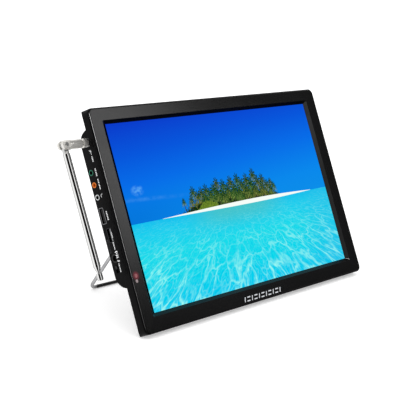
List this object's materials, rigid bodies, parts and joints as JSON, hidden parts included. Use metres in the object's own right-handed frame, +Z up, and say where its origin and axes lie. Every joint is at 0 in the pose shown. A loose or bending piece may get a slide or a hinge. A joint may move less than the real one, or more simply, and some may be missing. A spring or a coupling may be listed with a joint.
{
  "type": "portable television",
  "caption": "Flat portable television leaning on a folding wire stand, with side sockets, side keys and a folding telescopic antenna.",
  "frame": {"origin": "middle of the footprint on the table, at the lowest point of the leaning set", "axes": "+X to the viewer's right along the width, +Y away from the viewer, +Z up"},
  "size_m": [0.375, 0.1356, 0.1909],
  "materials": {
    "case_black": "fine moulded texture, satin",
    "bezel_black": "satin black with a soft sheen",
    "mark_grey": "printed pale grey",
    "lamp_red": "clear red, lit",
    "window_clear": "clear",
    "picture": "satin polariser over a lit picture",
    "film_white": "milky film",
    "guide_clear": "clear acrylic with a dot pattern",
    "plated_steel": "zinc plated",
    "board_green": "solder mask",
    "chip_black": "moulded",
    "capacitor_can": "satin sleeve",
    "cell_foil": "foil",
    "flex_amber": "polyimide",
    "jack_green": "moulded",
    "jack_orange": "moulded",
    "jack_white": "moulded",
    "socket_steel": "nickel plated",
    "tongue_white": "moulded",
    "tongue_black": "moulded",
    "screw_black": "black oxide",
    "speaker_metal": "stamped and painted",
    "speaker_paper": "pressed paper",
    "magnet_ferrite": "ferrite and steel",
    "stand_wire": "bright drawn wire",
    "clip_black": "moulded",
    "antenna_chrome": "polished",
    "key_black": "satin"
  },
  "bodies": {
    "case": {"antenna_plug": "antenna_chrome", "antenna_socket": "socket_steel", "av_in_jack": "jack_orange", "av_out_jack": "jack_green", "backlight_strip": "film_white", "battery_pack": "cell_foil", "board_capacitors": "capacitor_can", "board_screws": "plated_steel", "board_shield": "plated_steel", "card_socket": "socket_steel", "cover_screws": "screw_black", "dc_jack": "tongue_black", "front_bezel": "bezel_black", "front_mark": "mark_grey", "headphone_jack": "jack_white", "indicator_board": "board_green", "infrared_window": "window_clear", "key_board": "board_green", "lcd_panel": "picture", "light_guide": "guide_clear", "main_board": "board_green", "optical_sheets": "film_white", "panel_flex": "flex_amber", "panel_tray": "plated_steel", "power_lamp": "lamp_red", "power_switch_body": "chip_black", "processor_chip": "chip_black", "rear_cover": "case_black", "speaker_cone_left": "speaker_paper", "speaker_cone_right": "speaker_paper", "speaker_frame_left": "speaker_metal", "speaker_frame_right": "speaker_metal", "speaker_magnet_left": "magnet_ferrite", "speaker_magnet_right": "magnet_ferrite", "stand_clip_left": "clip_black", "stand_clip_right": "clip_black", "stand_clip_screws": "screw_black", "tray_screws": "plated_steel", "tuner_can": "plated_steel", "usb_socket": "socket_steel", "usb_tongue": "tongue_white", "video_socket": "socket_steel", "video_tongue": "tongue_black"},
    "stand": {"stand_bail": "stand_wire"},
    "power_slider": {"power_switch_slider": "key_black"},
    "antenna_turn": {"antenna_barrel": "antenna_chrome", "antenna_pivot": "antenna_chrome"},
    "antenna_arm_1": {"antenna_tube_1": "antenna_chrome"},
    "antenna_arm_2": {"antenna_tube_2": "antenna_chrome"},
    "antenna_arm_3": {"antenna_tube_3": "antenna_chrome"},
    "antenna_arm_4": {"antenna_tube_4": "antenna_chrome"},
    "antenna_arm_5": {"antenna_rod": "antenna_chrome", "antenna_tip": "antenna_chrome"},
    "button_power": {"key_power": "key_black"},
    "button_source": {"key_source": "key_black"},
    "button_menu": {"key_menu": "key_black"},
    "button_channel_up": {"key_channel_up": "key_black"},
    "button_channel_down": {"key_channel_down": "key_black"},
    "button_volume_up": {"key_volume_up": "key_black"},
    "button_volume_down": {"key_volume_down": "key_black"}
  },
  "joints": [
    {"name": "stand_fold", "type": "hinge", "parent": "case", "child": "stand", "pos_m": [0.0125, 0.00753, 0.09122], "axis": [-1, 0, 0], "range_deg": [0, 58.7]},
    {"name": "antenna_swivel", "type": "hinge", "parent": "case", "child": "antenna_turn", "pos_m": [-0.1635, 0.026, 0.15875], "axis": [1, 0, 0], "continuous": true},
    {"name": "antenna_fold", "type": "hinge", "parent": "antenna_turn", "child": "antenna_arm_1", "pos_m": [-0.1829, 0.026, 0.15875], "axis": [0, 0.9026, -0.4305], "range_deg": [0, 180]},
    {"name": "antenna_slide_2", "type": "slide", "parent": "antenna_arm_1", "child": "antenna_arm_2", "axis": [0.0175, -0.4304, -0.9024], "range_m": [0, 0.0827]},
    {"name": "antenna_slide_3", "type": "slide", "parent": "antenna_arm_2", "child": "antenna_arm_3", "axis": [0.0175, -0.4304, -0.9024], "range_m": [0, 0.0831]},
    {"name": "antenna_slide_4", "type": "slide", "parent": "antenna_arm_3", "child": "antenna_arm_4", "axis": [0.0175, -0.4304, -0.9024], "range_m": [0, 0.0835]},
    {"name": "antenna_slide_5", "type": "slide", "parent": "antenna_arm_4", "child": "antenna_arm_5", "axis": [0.0175, -0.4304, -0.9024], "range_m": [0, 0.0839]},
    {"name": "press_power", "type": "slide", "parent": "case", "child": "button_power", "axis": [-1, 0, 0], "range_m": [0, 0.0005], "stiffness_N_per_m": 600},
    {"name": "press_source", "type": "slide", "parent": "case", "child": "button_source", "axis": [-1, 0, 0], "range_m": [0, 0.0005], "stiffness_N_per_m": 600},
    {"name": "press_menu", "type": "slide", "parent": "case", "child": "button_menu", "axis": [-1, 0, 0], "range_m": [0, 0.0005], "stiffness_N_per_m": 600},
    {"name": "press_channel_up", "type": "slide", "parent": "case", "child": "button_channel_up", "axis": [-1, 0, 0], "range_m": [0, 0.0005], "stiffness_N_per_m": 600},
    {"name": "press_channel_down", "type": "slide", "parent": "case", "child": "button_channel_down", "axis": [-1, 0, 0], "range_m": [0, 0.0005], "stiffness_N_per_m": 600},
    {"name": "press_volume_up", "type": "slide", "parent": "case", "child": "button_volume_up", "axis": [-1, 0, 0], "range_m": [0, 0.0005], "stiffness_N_per_m": 600},
    {"name": "press_volume_down", "type": "slide", "parent": "case", "child": "button_volume_down", "axis": [-1, 0, 0], "range_m": [0, 0.0005], "stiffness_N_per_m": 600},
    {"name": "power_switch_slide", "type": "slide", "parent": "case", "child": "power_slider", "axis": [0, -0.4305, -0.9026], "range_m": [0, 0.0025]}
  ]
}
